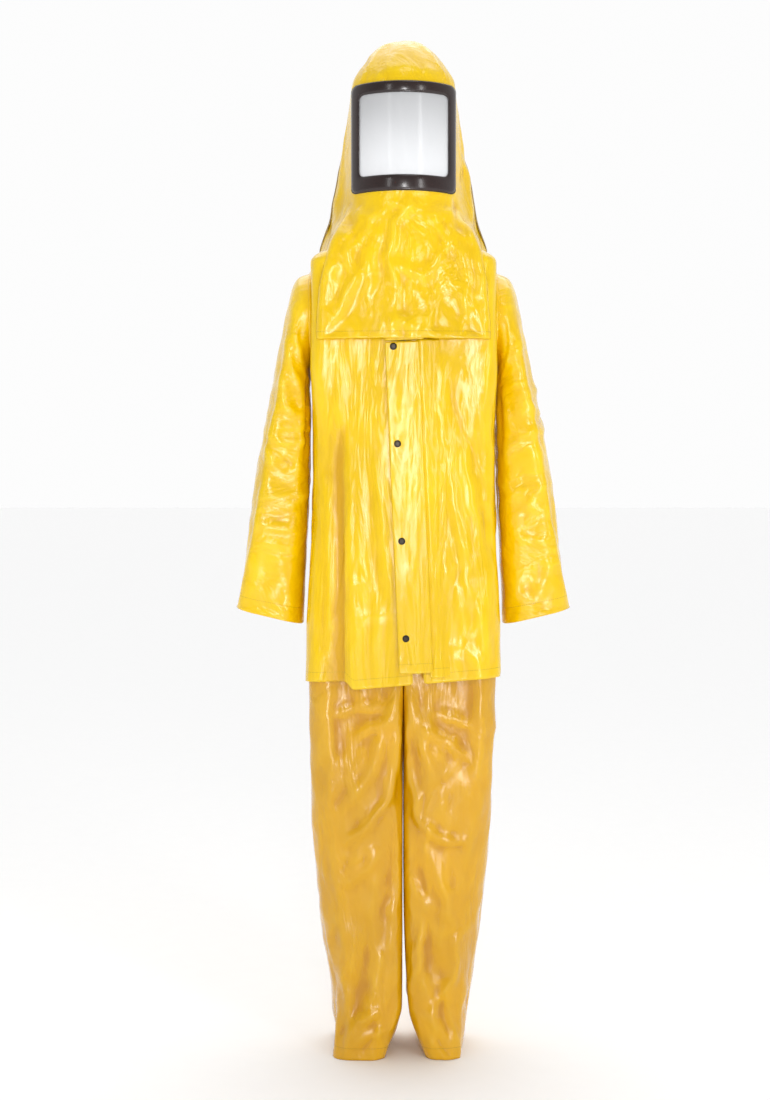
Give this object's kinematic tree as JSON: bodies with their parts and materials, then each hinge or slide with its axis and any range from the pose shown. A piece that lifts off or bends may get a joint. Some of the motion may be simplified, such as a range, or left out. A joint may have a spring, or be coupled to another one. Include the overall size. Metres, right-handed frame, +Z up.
{
  "type": "chemical protective suit",
  "caption": "Two-piece coated-fabric chemical protective suit: hip-length jacket with covered zip and snaps, trousers, and a separate shoulder-length hood with a framed clear visor.",
  "frame": {"origin": "middle of the neck opening at the height of the jacket's neck seam, where the wearer's shoulders carry the suit", "axes": "+Z up, -Y out of the front, +X towards the wearer's left"},
  "size_m": [0.584, 0.2851, 1.7598],
  "materials": {
    "yellow_pvc_fabric": "glossy coated fabric",
    "seam_tape": "satin",
    "elastic": "matte",
    "zip_tape": "matte",
    "zip_plastic": "satin",
    "slider_metal": "satin",
    "snap_metal": "black oxidised",
    "visor_frame_plastic": "gloss",
    "gasket_rubber": "matte",
    "visor_clear_pvc": "hazy clear"
  },
  "bodies": {
    "jacket": {"jacket_back_panel": "yellow_pvc_fabric", "jacket_right_front": "yellow_pvc_fabric", "jacket_left_front": "yellow_pvc_fabric", "jacket_hem_band": "yellow_pvc_fabric", "armhole_binding_left": "seam_tape", "armhole_binding_right": "seam_tape", "collar": "yellow_pvc_fabric", "hang_loop": "yellow_pvc_fabric", "throat_flap": "yellow_pvc_fabric", "flap_strip": "yellow_pvc_fabric", "zip_tape_left": "zip_tape", "zip_tape_right": "zip_tape", "zip_teeth_left": "zip_plastic", "zip_teeth_right": "zip_plastic", "zip_top_stops": "zip_plastic", "zip_bottom_box": "zip_plastic", "snap_studs": "snap_metal", "snap_stud_backs": "snap_metal"},
    "storm_flap": {"storm_flap": "yellow_pvc_fabric", "snap_caps": "snap_metal", "snap_sockets": "snap_metal"},
    "zip_slider": {"zip_slider": "slider_metal", "zip_pull": "slider_metal"},
    "hood": {"hood_face_panel": "yellow_pvc_fabric", "hood_front_bib": "yellow_pvc_fabric", "hood_back_panel": "yellow_pvc_fabric", "hood_hem": "yellow_pvc_fabric", "hood_crown_welt": "seam_tape", "visor_window": "visor_clear_pvc", "visor_gasket": "gasket_rubber", "visor_frame": "visor_frame_plastic", "visor_backing_frame": "visor_frame_plastic"},
    "right_upper_sleeve": {"right_upper_sleeve": "yellow_pvc_fabric"},
    "right_lower_sleeve": {"right_lower_sleeve": "yellow_pvc_fabric", "right_cuff_hem": "yellow_pvc_fabric"},
    "left_upper_sleeve": {"left_upper_sleeve": "yellow_pvc_fabric"},
    "left_lower_sleeve": {"left_lower_sleeve": "yellow_pvc_fabric", "left_cuff_hem": "yellow_pvc_fabric"},
    "trousers": {"trousers_right_front": "yellow_pvc_fabric", "trousers_right_back": "yellow_pvc_fabric", "trousers_left_front": "yellow_pvc_fabric", "trousers_left_back": "yellow_pvc_fabric", "waistband": "yellow_pvc_fabric", "waist_elastic": "elastic"},
    "right_shin": {"right_shin_front": "yellow_pvc_fabric", "right_shin_back": "yellow_pvc_fabric", "right_leg_hem": "yellow_pvc_fabric"},
    "left_shin": {"left_shin_front": "yellow_pvc_fabric", "left_shin_back": "yellow_pvc_fabric", "left_leg_hem": "yellow_pvc_fabric"}
  },
  "joints": [
    {"name": "hood_lift", "type": "slide", "parent": "jacket", "child": "hood", "axis": [0, 0, 1], "range_m": [0, 0.35]},
    {"name": "flap_open", "type": "hinge", "parent": "jacket", "child": "storm_flap", "pos_m": [0.03516, -0.12579, -0.39724], "axis": [-0.0427, 0.0394, 0.9983], "range_deg": [0, 150]},
    {"name": "zip_slide", "type": "slide", "parent": "jacket", "child": "zip_slider", "axis": [0.0427, -0.0394, -0.9983], "range_m": [0, 0.62]},
    {"name": "right_sleeve_swing", "type": "hinge", "parent": "jacket", "child": "right_upper_sleeve", "pos_m": [-0.16, 0, -0.137], "axis": [-1, 0, 0], "range_deg": [-40, 150]},
    {"name": "left_sleeve_swing", "type": "hinge", "parent": "jacket", "child": "left_upper_sleeve", "pos_m": [0.16, 0, -0.137], "axis": [-1, 0, 0], "range_deg": [-40, 150]},
    {"name": "right_elbow_bend", "type": "hinge", "parent": "right_upper_sleeve", "child": "right_lower_sleeve", "pos_m": [-0.212, 0.004, -0.4], "axis": [-1, 0, 0], "range_deg": [0, 90]},
    {"name": "left_elbow_bend", "type": "hinge", "parent": "left_upper_sleeve", "child": "left_lower_sleeve", "pos_m": [0.212, 0.004, -0.4], "axis": [-1, 0, 0], "range_deg": [0, 90]},
    {"name": "trousers_pull_down", "type": "slide", "parent": "jacket", "child": "trousers", "axis": [0, 0, -1], "range_m": [0, 0.4]},
    {"name": "right_knee_bend", "type": "hinge", "parent": "trousers", "child": "right_shin", "pos_m": [-0.082, 0.006, -0.94], "axis": [1, 0, 0], "range_deg": [0, 90]},
    {"name": "left_knee_bend", "type": "hinge", "parent": "trousers", "child": "left_shin", "pos_m": [0.08, 0.006, -0.94], "axis": [1, 0, 0], "range_deg": [0, 90]}
  ]
}
